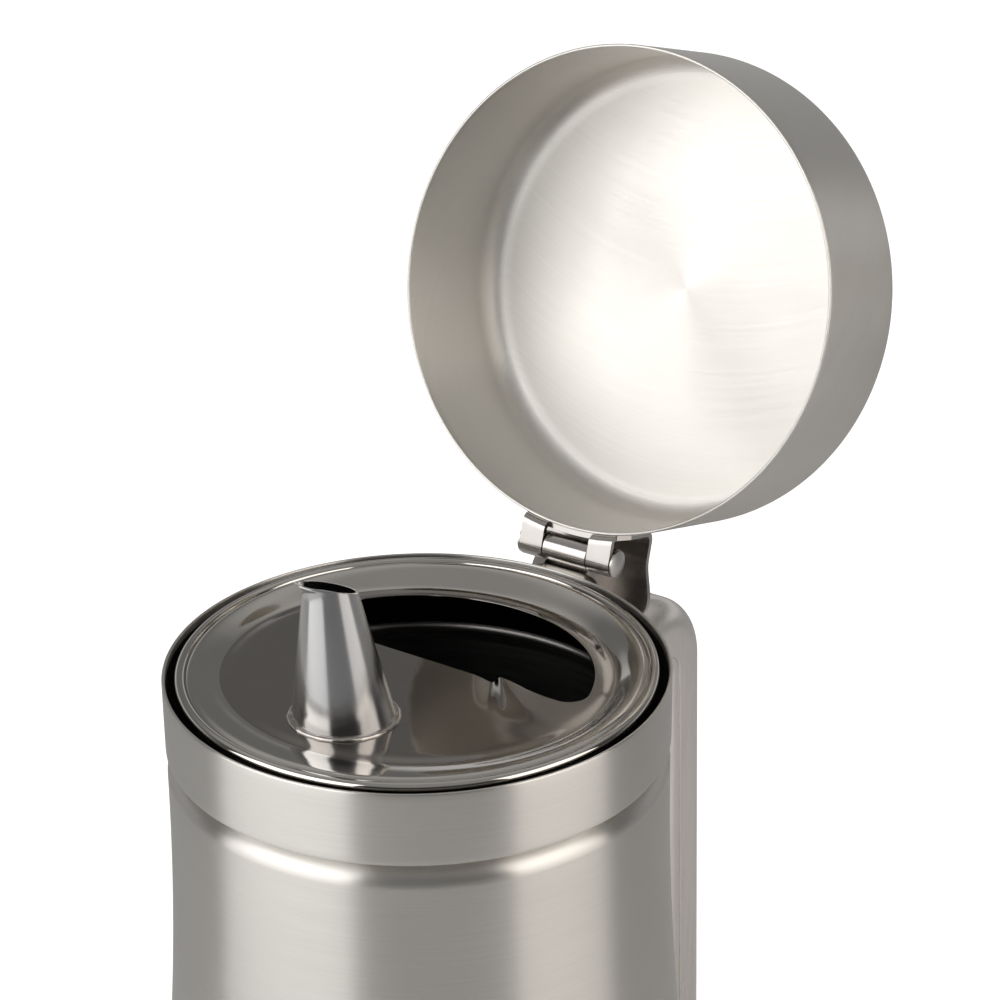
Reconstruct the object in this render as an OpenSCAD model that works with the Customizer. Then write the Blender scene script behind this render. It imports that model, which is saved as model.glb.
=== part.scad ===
// Steel oil dispenser: a waisted pot with a loop handle, a hinged cap lid with a
// thumb lever, and a loose pour plate that carries a tapered spout.
// The table is z = 0, the pot's axis is the Z axis and the handle points along +X.
// The lid stands open, as the object is shown.

/* [Pot] */
// Height of the pot's rim above the table
rim_h = 175; // [168:1:190]
// Outer diameter of the collar at the rim
collar_od = 105; // [100:1:112]
// Height of the plain collar above the pressed groove
collar_h = 16.2; // [15.2:0.2:18]
// Thickness of the pot and lid sheet
sheet_t = 0.7; // [0.6:0.05:0.9]
// Depth of the groove under the collar
groove_depth = 3.2; // [3:0.1:3.8]
// Radius inside the groove
groove_r = 0.7; // [0.5:0.1:0.9]
// Radius where the collar turns into the groove
roll_r = 1; // [0.95:0.05:1.3]
// Radius of the shoulder under the groove
shoulder_r = 4; // [3:0.25:4.5]
// How far the waist lies inside the collar
waist_inset = 0.1; // [0:0.05:0.6]
// Radius of the long curve that widens the body towards its foot
flare_r = 690; // [600:10:900]
// Radius of the bottom corner
base_corner_r = 14; // [10:1:18]
// Width of the flat foot ring that the pot stands on
foot_w = 5; // [4:0.5:7]
// How far the base panel is raised inside the foot ring
panel_rise = 3; // [2:0.5:4]

/* [Pour plate] */
// Gap between the plate's bead and the collar
plate_gap = 1.8; // [1.6:0.1:2.1]
// Thickness of the plate's sheet
plate_t = 0.6; // [0.5:0.05:0.7]
// Radius of the rolled bead
bead_r = 1.2; // [1:0.1:1.4]
// Height of the bead above the pot's rim
bead_rise = 0.5; // [0.3:0.1:0.9]
// How far the skirt lies inside the bead
skirt_inset = 0.3; // [0.1:0.1:0.4]
// Width of the sloping flange between the shoulder and the floor
flange_w = 5.6; // [5:0.2:7]
// Depth of the floor's centre under the rim
floor_drop = 1.4; // [1.4:0.1:2.2]
// Fall of the floor towards the handle, in degrees
floor_tilt = 2.3; // [1.8:0.1:2.3]
// Radius of the pouring-back opening
opening_r = 36.6; // [35:0.2:38]
// Distance of the opening's straight edge from the middle
chord_x = 5; // [3:0.5:7]
// Corner radius of the opening
opening_corner_r = 4.5; // [3:0.5:6]
// How far the drain notch lies to the side
notch_y = 15; // [12:0.5:18]
// Length of the drain notch
notch_l = 11; // [9:0.5:13]
// Radius of the drain notch at the opening
notch_r = 2.4; // [1.8:0.1:2.8]

/* [Spout] */
// Place of the spout's foot, as a share of the plate's radius
spout_place_share = 0.508; // [0.48:0.004:0.52]
// Outer radius at the foot
spout_base_r = 10.5; // [9.7:0.1:11]
// Outer radius at the cut top
spout_top_r = 5.25; // [4.8:0.05:5.8]
// Length from the floor to the middle of the cut
spout_l = 30; // [27:0.2:30.4]
// Lean away from the handle, in degrees
spout_lean = 5.8; // [4:0.2:7]
// Thickness of the spout's sheet
spout_t = 0.5; // [0.4:0.05:0.7]
// Slope of the cut, in degrees
cut_slope = 21.8; // [18:0.4:24]
// Reach of the pouring lip from the middle of the cut
lip_reach = 7.65; // [7.2:0.05:8]
// Outer radius of the lip's trough
lip_r = 4.6; // [4.2:0.1:4.8]
// Lean of the lip from upright, in degrees
lip_lean = 31; // [28:1:34]
// Section radius of the bead around the foot
foot_bead_r = 0.65; // [0.5:0.05:0.8]

/* [Lid] */
// Depth of the lid
lid_depth = 35.2; // [35.2:0.2:40]
// Corner radius of the lid
lid_corner_r = 6.3; // [5:0.1:8]
// How far the lid stands out past the collar
lid_overhang = 0.7; // [0.4:0.1:0.8]
// Gap between the closed lid and the pot's rim
lid_gap = 0.3; // [0.2:0.05:0.6]
// Opening angle, in degrees
open_angle = 106.5; // [95:0.5:110]

/* [Hinge] */
// Distance of the hinge axis from the collar
axis_out = 5.9; // [5.4:0.1:6.4]
// Height of the hinge axis above the rim
axis_up = 2.05; // [1.6:0.05:2.6]
// Outer diameter of the knuckles
knuckle_od = 6.4; // [6:0.1:7]
// Diameter of the pin
pin_d = 3.2; // [2.8:0.1:3.4]
// Running clearance around the pin
pin_clear = 0.05; // [0.03:0.01:0.1]
// Length of the middle knuckle
mid_knuckle_l = 11; // [10:0.5:12]
// Length of each outer knuckle
end_knuckle_l = 5.8; // [5:0.1:6.4]
// Gap between neighbouring knuckles
knuckle_gap = 0.3; // [0.2:0.05:0.5]
// Diameter of the pin's heads
head_d = 6; // [5.4:0.1:6.2]
// Thickness of the pin's heads
head_t = 1.1; // [0.9:0.1:1.5]
// Thickness of the hinge sheet
leaf_t = 1.2; // [1:0.1:1.4]
// Radius inside the bend where the lid's leaf turns under the pin
hook_bend_r = 0.6; // [0.4:0.1:0.8]
// Height of the leaf's middle edge above the lid's rim
leaf_rise = 0.5; // [0.3:0.1:1.2]
// Height of the leaf's slanted lower corners
leaf_slant_h = 3; // [2:0.5:4]
// Slope of the fixed leaf down to the collar, in degrees
bracket_slope = 23; // [18:1:28]
// How far the fixed leaf reaches down the collar
bracket_drop = 13.5; // [11:0.5:14]
// Width of the fixed leaf at the collar
bracket_w = 18; // [16:0.5:20]

/* [Thumb lever] */
// Height of the lever's face above the rim when the lid is shut
lever_up = 13.5; // [12.5:0.1:14.5]
// Reach of the lever from the collar
lever_reach = 19.3; // [17:0.1:21]
// Width of the lever's neck and of the leaf on the lid
lever_neck_w = 27.2; // [25:0.2:28.4]
// Width of the lever's rounded end
lever_end_w = 31; // [29:0.2:33]
// Corner radius of the lever's end
lever_corner_r = 4; // [3:0.25:5]
// Radius inside the bend between leaf and lever
lever_bend_r = 1.4; // [1:0.1:2]

/* [Handle] */
// Width of the handle
handle_w = 24.8; // [20:0.4:26.8]
// Thickness of the handle, away from the pot
handle_t = 17.5; // [16:0.25:18.25]
// Reach of the handle's outer face from the collar, at its upper bend
handle_reach = 46.7; // [44:0.5:52]
// Depth of the handle's top under the rim
handle_drop = 18.3; // [17.6:0.1:22]
// Outer radius of the handle's bends
handle_bend_r = 19; // [18.5:0.25:24]
// Lean of the loop away from the pot towards its foot, in degrees
handle_lean = 2.2; // [0:0.1:3.4]
// Height of the handle's lower bend above the table
handle_foot_h = 14; // [11:0.5:20]
// Radius of the handle's outer edges
handle_edge_r = 6.8; // [5:0.2:7.4]
// Radius of the handle's edges that face the pot
handle_inner_edge_r = 3; // [2:0.25:4]
// Thickness of the handle's sheet
handle_sheet_t = 0.9; // [0.7:0.05:1.1]
// Depth of the cover that closes the handle on the pot's side
cover_depth = 4.6; // [4:0.2:5.4]

/* [Hidden] */
$fn = 96;
cut_over = 1;
seat_gap = 0.05;
thin = 0.01;
arc_steps = 10;
flare_steps = 18;
edge_steps = 7;
seam_step = 0.25;
panel_slope_w = 4;
head_edge_share = 0.45;
lever_neck_share = 0.3;
lever_flare_share = 0.78;

collar_r = collar_od / 2;
waist_r = collar_r - waist_inset;
groove_floor_z = rim_h - collar_h;

// Centres of the arcs that make up the pot's outline
groove_cx = collar_r - groove_depth + groove_r;
groove_cz = groove_floor_z - groove_r;
shoulder_ang = 55;
tangent_l = (waist_r - shoulder_r - groove_cx + (groove_r + shoulder_r) * cos(shoulder_ang))
    / sin(shoulder_ang);
waist_z = groove_cz - (groove_r + shoulder_r) * sin(shoulder_ang) - tangent_l * cos(shoulder_ang);
flare_cx = waist_r + flare_r;
corner_cx = flare_cx - sqrt(pow(flare_r + base_corner_r, 2) - pow(waist_z - base_corner_r, 2));
flare_ang = asin((waist_z - base_corner_r) / (flare_r + base_corner_r));
foot_in_r = corner_cx - foot_w;

// Hinge
axis_x = collar_r + axis_out;
axis_z = rim_h + axis_up;
knuckle_r = knuckle_od / 2;
pin_r = pin_d / 2;
mid_half = mid_knuckle_l / 2;
end_in = mid_half + knuckle_gap;
end_out = end_in + end_knuckle_l;
lid_r = collar_r + lid_overhang;
lid_z = rim_h + lid_gap;
lever_z = rim_h + lever_up;
lever_x = collar_r + lever_reach;
lever_root_half = lever_neck_w / 2;
hook_z = axis_z - knuckle_r;
hook_r = hook_bend_r + leaf_t;
strip_z = lid_z + leaf_rise;

// Pour plate
plate_r = collar_r - sheet_t - plate_gap;
skirt_r = plate_r - skirt_inset;
shelf_z = groove_floor_z + sheet_t;
skirt_z = shelf_z + seat_gap;
bead_cx = plate_r - bead_r;
bead_cz = rim_h + bead_rise - bead_r;
crease_ang = 156;
crest_ang = 43;
crest_r = 1.72 * bead_r;
crease_x = bead_cx + bead_r * cos(crease_ang);
crease_z = bead_cz + bead_r * sin(crease_ang);
crest_cx = crease_x - crest_r * sin(crest_ang);
crest_cz = crease_z - crest_r * cos(crest_ang);
shoulder_top_z = crest_cz + crest_r;
flange_top_r = crest_cx;
floor_r = flange_top_r - flange_w;
floor_z = rim_h - floor_drop;

// Spout
spout_x = plate_r * spout_place_share;
spout_z = floor_z + spout_x * tan(floor_tilt);
spout_top_x = spout_x + spout_l * sin(spout_lean);
spout_top_z = spout_z + spout_l * cos(spout_lean);
taper = (spout_base_r - spout_top_r) / spout_l;
spout_tail = spout_base_r * tan(floor_tilt + spout_lean) + cut_over;
spout_head = (spout_top_r + lip_reach) * tan(cut_slope + spout_lean) + cut_over;

// Handle
bend_x = collar_r + handle_reach - handle_bend_r;
bend_z = rim_h - handle_drop - handle_bend_r;
foot_bend_z = handle_foot_h + handle_bend_r;
grip_l = (bend_z - foot_bend_z) / cos(handle_lean);
foot_bend_x = bend_x + grip_l * sin(handle_lean);
arm_l = bend_x;
seam_x = handle_bend_r - handle_t + cover_depth;

function arc(cx, cz, r, a0, a1, n) =
    [for (i = [0:n]) [cx + r * cos(a0 + (a1 - a0) * i / n), cz + r * sin(a0 + (a1 - a0) * i / n)]];

function smooth(s) = s * s * (3 - 2 * s);

// The pot's outline from the foot ring to the rim, moved inwards by d
function pot_outline(d) = concat(
    arc(corner_cx, base_corner_r, base_corner_r - d, -90, flare_ang, arc_steps),
    arc(flare_cx, waist_z, flare_r + d, 180 + flare_ang, 180, flare_steps),
    arc(waist_r - shoulder_r, waist_z, shoulder_r - d, 0, shoulder_ang, arc_steps),
    arc(groove_cx, groove_cz, groove_r + d, 180 + shoulder_ang, 90, arc_steps),
    arc(collar_r - roll_r, groove_floor_z + roll_r, roll_r - d, -90, 0, arc_steps / 2),
    [[collar_r - d, rim_h + (d > 0 ? cut_over : 0)]]);

module pot_space(d) {
    top = rim_h + (d > 0 ? cut_over : 0);
    rotate_extrude()
        polygon(concat([[0, d]], pot_outline(d), [[0, top]]));
}

module pot_body() {
    color([0.72, 0.7, 0.67])
        difference() {
            pot_space(0);
            pot_space(sheet_t);
            translate([0, 0, -cut_over])
                cylinder(r = foot_in_r, h = sheet_t + 2 * cut_over);
        }
}

// The panel lies on the foot ring from inside and is pressed up in the middle
module base_panel() {
    panel_r = corner_cx - sheet_t / 2;
    flat_r = foot_in_r - panel_slope_w;
    low = sheet_t;
    high = panel_rise;
    color([0.7, 0.68, 0.65])
        rotate_extrude()
            polygon([[0, high], [flat_r, high], [foot_in_r, low], [panel_r, low],
                [panel_r, low + sheet_t], [foot_in_r, low + sheet_t],
                [flat_r, high + sheet_t], [0, high + sheet_t]]);
}

// Sections of the handle's two halves, drawn outwards from the axis of its bends
function shell_side(d) = let (cx = handle_bend_r - handle_edge_r, cy = handle_w / 2 - handle_edge_r)
    concat([[seam_x, -handle_w / 2 + d]], arc(cx, -cy, handle_edge_r - d, -90, 0, edge_steps),
        arc(cx, cy, handle_edge_r - d, 0, 90, edge_steps), [[seam_x, handle_w / 2 - d]]);

function cover_side(d) = let (cx = handle_bend_r - handle_t + handle_inner_edge_r,
        cy = handle_w / 2 - seam_step - handle_inner_edge_r)
    concat([[seam_x, cy + handle_inner_edge_r - d]],
        arc(cx, cy, handle_inner_edge_r - d, 90, 180, edge_steps),
        arc(cx, -cy, handle_inner_edge_r - d, 180, 270, edge_steps),
        [[seam_x, -cy - handle_inner_edge_r + d]]);

function reversed(v) = [for (i = [len(v) - 1:-1:0]) v[i]];

module handle_wall(outer) {
    if (outer)
        polygon(concat(shell_side(0), reversed(shell_side(handle_sheet_t))));
    else
        polygon(concat(cover_side(0), reversed(cover_side(handle_sheet_t))));
}

// Sweeps the section along the arm, bend, grip, bend and arm, and trims it at the pot
module handle_sweep(outer) {
    difference() {
        translate([bend_x, 0, bend_z])
            rotate([90, 0, 0])
                rotate([0, 0, handle_lean]) {
                    rotate([0, 0, 90])
                        rotate([-90, 0, 0])
                            linear_extrude(height = arm_l)
                                handle_wall(outer);
                    rotate_extrude(angle = 90)
                        handle_wall(outer);
                    rotate([90, 0, 0])
                        linear_extrude(height = grip_l)
                            handle_wall(outer);
                    translate([0, -grip_l, 0])
                        rotate([0, 0, -90]) {
                            rotate_extrude(angle = 90)
                                handle_wall(outer);
                            rotate([90, 0, 0])
                                linear_extrude(height = arm_l)
                                    handle_wall(outer);
                        }
                }
        pot_space(0);
    }
}

module handle_shell() {
    color([0.74, 0.72, 0.69])
        handle_sweep(true);
}

module handle_cover() {
    color([0.68, 0.66, 0.63])
        handle_sweep(false);
}

module along_y(y0, y1) {
    translate([axis_x, y1, axis_z])
        rotate([90, 0, 0])
            linear_extrude(height = y1 - y0)
                children();
}

module knuckle_ring(bore) {
    difference() {
        circle(r = knuckle_r);
        circle(r = bore);
    }
}

// Part of a tube around the pot's axis, on the handle's side
module wall_strip(r, z0, z1, half) {
    intersection() {
        difference() {
            translate([0, 0, z0])
                cylinder(r = r + leaf_t, h = z1 - z0, $fn = 180);
            translate([0, 0, z0 - cut_over])
                cylinder(r = r, h = z1 - z0 + 2 * cut_over, $fn = 180);
        }
        translate([0, -half, z0 - cut_over])
            cube([2 * r, 2 * half, z1 - z0 + 2 * cut_over]);
    }
}

module hinge_bracket() {
    web_l = axis_out + leaf_t;
    top_drop = (knuckle_r - leaf_t) / cos(bracket_slope) + (axis_out - leaf_t) * tan(bracket_slope);
    color([0.8, 0.78, 0.72]) {
        along_y(-mid_half, mid_half)
            knuckle_ring(pin_r);
        difference() {
            translate([axis_x, 0, axis_z])
                rotate([0, -bracket_slope, 0])
                    translate([0, 0, -knuckle_r])
                        translate([-web_l - leaf_t, -mid_half, 0])
                            cube([web_l + leaf_t, mid_knuckle_l, leaf_t]);
            translate([0, 0, rim_h - 2 * bracket_drop])
                cylinder(r = collar_r, h = 3 * bracket_drop, $fn = 180);
        }
        wall_strip(collar_r, rim_h - bracket_drop, axis_z - top_drop, bracket_w / 2);
    }
}

// The pin runs through all three knuckles, and each end is formed into a low dome
module hinge_pin() {
    seat_y = end_out + 2 * seat_gap;
    edge_t = head_t * head_edge_share;
    dome_t = head_t - edge_t;
    head_r = head_d / 2;
    dome_r = (head_r * head_r + dome_t * dome_t) / (2 * dome_t);
    dome_a = asin(head_r / dome_r);
    color([0.82, 0.8, 0.75])
        translate([axis_x, 0, axis_z])
            for (s = [-1, 1])
                rotate([s * 90, 0, 0])
                    rotate_extrude()
                        polygon(concat([[0, 0], [pin_r, 0], [pin_r, seat_y], [head_r, seat_y]],
                            arc(0, seat_y + head_t - dome_r, dome_r, 90 - dome_a, 90, arc_steps)));
}

// Puts what is drawn for the shut lid into its open place
module lid_open() {
    translate([axis_x, 0, axis_z])
        rotate([0, open_angle, 0])
            translate([-axis_x, 0, -axis_z])
                children();
}

module lid_shell() {
    top = lid_z + lid_depth;
    outer = concat([[lid_r, lid_z]],
        arc(lid_r - lid_corner_r, top - lid_corner_r, lid_corner_r, 0, 90, arc_steps), [[0, top]]);
    inner = concat([[0, top - sheet_t]],
        arc(lid_r - lid_corner_r, top - lid_corner_r, lid_corner_r - sheet_t, 90, 0, arc_steps),
        [[lid_r - sheet_t, lid_z]]);
    color([0.76, 0.74, 0.71])
        lid_open()
            rotate_extrude()
                polygon(concat(outer, inner));
}

// Outline of the thumb lever: a neck as wide as the leaf that flares to a rounded end
function lever_half(s) = lever_root_half
    + (lever_end_w / 2 - lever_root_half)
    * smooth(min(max((s - lever_neck_share) / (lever_flare_share - lever_neck_share), 0), 1));

module lever_shape() {
    x0 = collar_r;
    l = lever_reach - lever_corner_r;
    side = [for (i = [0:arc_steps]) [x0 + l * i / arc_steps, lever_half(i / arc_steps * l / lever_reach)]];
    tip = arc(lever_x - lever_corner_r, lever_end_w / 2 - lever_corner_r, lever_corner_r, 90, 0, arc_steps);
    half = concat([for (i = [0:arc_steps - 1]) side[i]], tip);
    polygon(concat(half, [for (p = reversed(half)) [p[0], -p[1]]]));
}

// Turn under the pin, wall, bend and the first strip of the lever, in one bent sheet
module leaf_profile() {
    cx = lid_r + lever_bend_r + leaf_t;
    cz = lever_z - lever_bend_r - leaf_t;
    hx = lid_r + hook_r;
    hz = hook_z + hook_r;
    polygon(concat([[hx + leaf_t, hook_z]],
        arc(hx, hz, hook_r, 270, 180, edge_steps),
        arc(cx, cz, lever_bend_r + leaf_t, 180, 90, arc_steps),
        [[cx + leaf_t, lever_z], [cx + leaf_t, lever_z - leaf_t]],
        arc(cx, cz, lever_bend_r, 90, 180, arc_steps),
        arc(hx, hz, hook_bend_r, 180, 270, edge_steps),
        [[hx + leaf_t, hook_z + leaf_t]]));
}

// What is left of the bent sheet, seen from the handle's side: two tongues under the pin and the wall
module leaf_outline() {
    half = [[end_in, strip_z], [end_in, hook_z - cut_over], [end_out, hook_z - cut_over],
        [end_out, strip_z], [lever_root_half, strip_z + leaf_slant_h],
        [lever_root_half, lever_z + cut_over]];
    rotate([90, 0, 90])
        linear_extrude(height = 2 * lid_r)
            polygon(concat(half, [for (p = reversed(half)) [-p[0], p[1]]]));
}

module lid_leaf() {
    color([0.79, 0.77, 0.72])
        lid_open() {
            for (s = [-1, 1])
                along_y(s > 0 ? end_in : -end_out, s > 0 ? end_out : -end_in)
                    knuckle_ring(pin_r + pin_clear);
            difference() {
                for (s = [-1, 1])
                    translate([lid_r, s > 0 ? end_in : -end_out, hook_z])
                        cube([axis_x - lid_r, end_knuckle_l, leaf_t]);
                translate([0, 0, hook_z - cut_over])
                    cylinder(r = lid_r + hook_r + leaf_t / 2, h = leaf_t + 2 * cut_over, $fn = 180);
            }
            intersection() {
                rotate([0, 0, -45])
                    rotate_extrude(angle = 90, $fn = 180)
                        leaf_profile();
                leaf_outline();
            }
            difference() {
                translate([0, 0, lever_z - leaf_t])
                    linear_extrude(height = leaf_t)
                        lever_shape();
                translate([0, 0, lever_z - leaf_t - cut_over])
                    cylinder(r = lid_r + lever_bend_r + leaf_t, h = leaf_t + 2 * cut_over, $fn = 180);
            }
        }
}

// Space above the plate's flange and floor; grow widens the notch for the sheet's underside
module plate_dish(grow) {
    hull() {
        translate([0, 0, shoulder_top_z])
            cylinder(r = flange_top_r, h = cut_over, $fn = 120);
        translate([0, 0, floor_z])
            rotate([0, floor_tilt, 0])
                cylinder(r = floor_r, h = thin, $fn = 120);
    }
    translate([0, 0, floor_z])
        rotate([0, floor_tilt, 0])
            translate([chord_x + cut_over, -notch_y, 0])
                rotate([0, -90, 0])
                    cylinder(r1 = notch_r * (1 + cut_over / notch_l) + grow, r2 = grow / 2,
                        h = notch_l + cut_over, $fn = 48);
}

module opening_shape() {
    cx = chord_x + opening_corner_r;
    cy = sqrt(pow(opening_r - opening_corner_r, 2) - cx * cx);
    reach = 2 * opening_r;
    intersection() {
        circle(r = opening_r);
        union() {
            translate([chord_x, -cy])
                square([reach, 2 * cy]);
            intersection() {
                polygon([[0, 0], reach * [cx, cy] / opening_r, [reach, 0],
                    reach * [cx, -cy] / opening_r]);
                translate([chord_x, -reach])
                    square([reach, 2 * reach]);
            }
        }
    }
    for (s = [-1, 1])
        translate([cx, s * cy])
            circle(r = opening_corner_r);
}

// The tapered bore of the spout or its outside, along its leaning axis
module spout_cone(d) {
    translate([-spout_x, 0, spout_z])
        rotate([0, -spout_lean, 0])
            translate([0, 0, -spout_tail])
                cylinder(r1 = spout_base_r + taper * spout_tail - d,
                    r2 = spout_top_r - taper * spout_head - d,
                    h = spout_tail + spout_l + spout_head);
}

// Line of the plate's sheet from the skirt over the bead and the crease to the flange
function plate_line(d) = concat(
    arc(bead_cx, bead_cz, bead_r - d, -acos((skirt_r - d - bead_cx) / (bead_r - d)),
        crease_ang, arc_steps),
    d > 0 ? arc(crease_x, crease_z, d, crease_ang - 180, -90 - crest_ang, edge_steps) : [],
    arc(crest_cx, crest_cz, crest_r - d, 90 - crest_ang, 90, edge_steps));

module plate_block(d, foot_z) {
    line = plate_line(d);
    rotate_extrude()
        polygon(concat([[0, foot_z], [skirt_r - d, foot_z]], line, [[0, shoulder_top_z - d]]));
}

module pour_plate() {
    color([0.62, 0.6, 0.57])
        difference() {
            plate_block(0, skirt_z);
            plate_dish(0);
            difference() {
                plate_block(plate_t, skirt_z - cut_over);
                translate([0, 0, -plate_t])
                    plate_dish(0);
                plate_dish(plate_t);
            }
            translate([0, 0, skirt_z - cut_over])
                linear_extrude(height = 2 * collar_h)
                    opening_shape();
            intersection() {
                spout_cone(spout_t);
                translate([0, 0, skirt_z])
                    cylinder(r = plate_r, h = collar_h + cut_over);
            }
        }
}

// Everything above the plate's tilted floor
module above_floor(reach) {
    translate([0, 0, floor_z])
        rotate([0, floor_tilt, 0])
            translate([-reach, -reach, 0])
                cube([2 * reach, 2 * reach, 2 * reach]);
}

// Everything under the sloping cut of the spout
module below_cut(reach) {
    translate([-spout_top_x, 0, spout_top_z])
        rotate([0, cut_slope, 0])
            translate([-reach, -reach, -2 * reach])
                cube([2 * reach, 2 * reach, 2 * reach]);
}

// The lip's trough: a leaning tube whose front line meets the cut at the lip's reach
module lip_tube(r) {
    tip_x = -spout_top_x - lip_reach;
    tip_z = spout_top_z + lip_reach * tan(cut_slope);
    start = spout_top_r + lip_reach;
    intersection() {
        translate([tip_x + lip_r * cos(lip_lean), 0, tip_z + lip_r * sin(lip_lean)])
            rotate([0, -lip_lean, 0])
                translate([0, 0, -start])
                    cylinder(r = r, h = 2 * start);
        translate([-spout_top_x - 3 * start, -start, spout_top_z - start])
            cube([3 * start, 2 * start, 3 * start]);
    }
}

module spout() {
    color([0.66, 0.65, 0.63]) {
        intersection() {
            difference() {
                union() {
                    spout_cone(0);
                    lip_tube(lip_r);
                }
                spout_cone(spout_t);
                lip_tube(lip_r - spout_t);
            }
            above_floor(collar_od);
            below_cut(collar_od);
        }
        intersection() {
            translate([0, 0, floor_z])
                rotate([0, floor_tilt, 0])
                    translate([-spout_x / cos(floor_tilt), 0, 0])
                        rotate_extrude()
                            difference() {
                                translate([spout_base_r + foot_bead_r / 3, foot_bead_r / 2])
                                    circle(r = foot_bead_r, $fn = 32);
                                square([spout_base_r - spout_t / 2, 2 * foot_bead_r]);
                            }
            above_floor(collar_od);
        }
    }
}

pot_body();
base_panel();
handle_shell();
handle_cover();
hinge_bracket();
hinge_pin();
lid_shell();
lid_leaf();
pour_plate();
spout();
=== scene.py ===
"""Looks of the steel oil dispenser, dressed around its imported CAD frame.

Lengths are in millimetres and become metres where a mesh is written. The pot's axis is Z, the handle
points along +X, and the hinge pin lies along Y.
"""

import math

import bpy
import numpy as np
from mathutils import Matrix, Vector

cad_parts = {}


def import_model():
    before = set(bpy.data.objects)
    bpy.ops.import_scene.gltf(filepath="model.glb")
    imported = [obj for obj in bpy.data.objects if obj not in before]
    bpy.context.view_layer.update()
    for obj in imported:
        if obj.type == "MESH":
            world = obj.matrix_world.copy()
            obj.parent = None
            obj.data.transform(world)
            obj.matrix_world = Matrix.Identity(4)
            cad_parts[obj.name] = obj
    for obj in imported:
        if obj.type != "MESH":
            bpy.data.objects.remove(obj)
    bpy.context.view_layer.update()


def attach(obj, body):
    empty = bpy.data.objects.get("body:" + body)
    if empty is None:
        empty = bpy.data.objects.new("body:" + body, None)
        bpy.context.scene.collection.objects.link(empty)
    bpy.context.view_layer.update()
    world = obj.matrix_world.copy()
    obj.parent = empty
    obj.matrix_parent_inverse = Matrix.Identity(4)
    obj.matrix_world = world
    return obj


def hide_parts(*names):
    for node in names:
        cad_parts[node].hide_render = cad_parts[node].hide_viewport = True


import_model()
MM = 0.001

# Sizes of the solids that the visible pieces follow
RIM_H = 175.0
COLLAR_R = 52.5
COLLAR_H = 16.2
SHEET = 0.7
GROOVE_DEPTH = 3.2
GROOVE_R = 0.7
ROLL_R = 1.0
SHOULDER_R = 4.0
WAIST_R = COLLAR_R - 0.1
FLARE_R = 690.0
CORNER_R = 14.0
FOOT_W = 5.0
PANEL_RISE = 3.0
PLATE_R = COLLAR_R - SHEET - 1.8
PLATE_T = 0.6
BEAD_R = 1.2
BEAD_RISE = 0.5
SKIRT_R = PLATE_R - 0.3
FLANGE_W = 5.6
FLOOR_Z = RIM_H - 1.4
FLOOR_TILT = math.radians(2.3)
OPENING_R = 36.6
CHORD_X = 5.0
OPENING_CORNER_R = 4.5
NOTCH_Y = -15.0
NOTCH_L = 11.0
SPOUT_X = PLATE_R * 0.508
SPOUT_BASE_R = 10.5
SPOUT_TOP_R = 5.25
SPOUT_L = 30.0
SPOUT_LEAN = math.radians(5.8)
SPOUT_T = 0.5
CUT_SLOPE = math.tan(math.radians(21.8))
LID_R = COLLAR_R + 0.7
LID_Z = RIM_H + 0.3
LID_DEPTH = 35.2
LID_CORNER_R = 6.3
OPEN_ANGLE = math.radians(106.5)
AXIS_X = COLLAR_R + 5.9
AXIS_Z = RIM_H + 2.05
KNUCKLE_R = 3.2
PIN_R = 1.6
PIN_CLEAR = 0.05
HEAD_R = 3.0
HEAD_GAP = 0.1
HEAD_EDGE = 0.5
HEAD_DOME = 0.6
MID_HALF = 5.5
END_IN = 5.8
END_OUT = 11.6
LEAF_T = 1.2
HOOK_R = 0.6
STRIP_Z = LID_Z + 0.5
SLANT_H = 3.0
BRACKET_SLOPE = math.radians(23)
BRACKET_DROP = 13.5
BRACKET_HALF = 9.0
LEVER_Z = RIM_H + 13.5
LEVER_TIP_X = COLLAR_R + 19.3
LEVER_HALF = 15.5
LEVER_ROOT_HALF = 13.6
LEVER_CORNER_R = 4.0
LEVER_BEND_R = 1.4
HANDLE_HALF = 12.4
HANDLE_T = 17.5
BEND_R = 19.0
BEND_X = COLLAR_R + 46.7 - BEND_R
BEND_Z = RIM_H - 18.3 - BEND_R
FOOT_BEND_Z = 14.0 + BEND_R
LEAN = math.radians(2.2)
GRIP_L = (BEND_Z - FOOT_BEND_Z) / math.cos(LEAN)
EDGE_R = 6.8
INNER_EDGE_R = 3.0
HANDLE_SHEET = 0.9
COVER_DEPTH = 4.6
SEAM_STEP = 0.25
PANEL_RAMP = 4.0
SHOULDER_TURN = 55
EDGE_BEVEL = 0.15
BEVEL_ANGLE = 50
HALVINGS = 40
ROUND = 256
UV_UNIT = 100


# Meshes from grids of points

def smooth(s):
    """Smooth step: 3 s^2 - 2 s^3 on s held between 0 and 1."""
    s = np.clip(s, 0.0, 1.0)
    return s * s * (3 - 2 * s)


def arc(cx, cy, r, a0, a1, n):
    """n + 1 points on the circle of radius r about (cx, cy), from angle a0 to a1 in degrees."""
    a = np.radians(np.linspace(a0, a1, n + 1))
    return np.stack([cx + r * np.cos(a), cy + r * np.sin(a)], 1)


def line(p, q, n, ends=False):
    """Points on the straight line from p to q, without its ends unless asked for."""
    t = np.linspace(0, 1, n + 2)
    t = t if ends else t[1:-1]
    return np.outer(1 - t, p) + np.outer(t, q)


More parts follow.
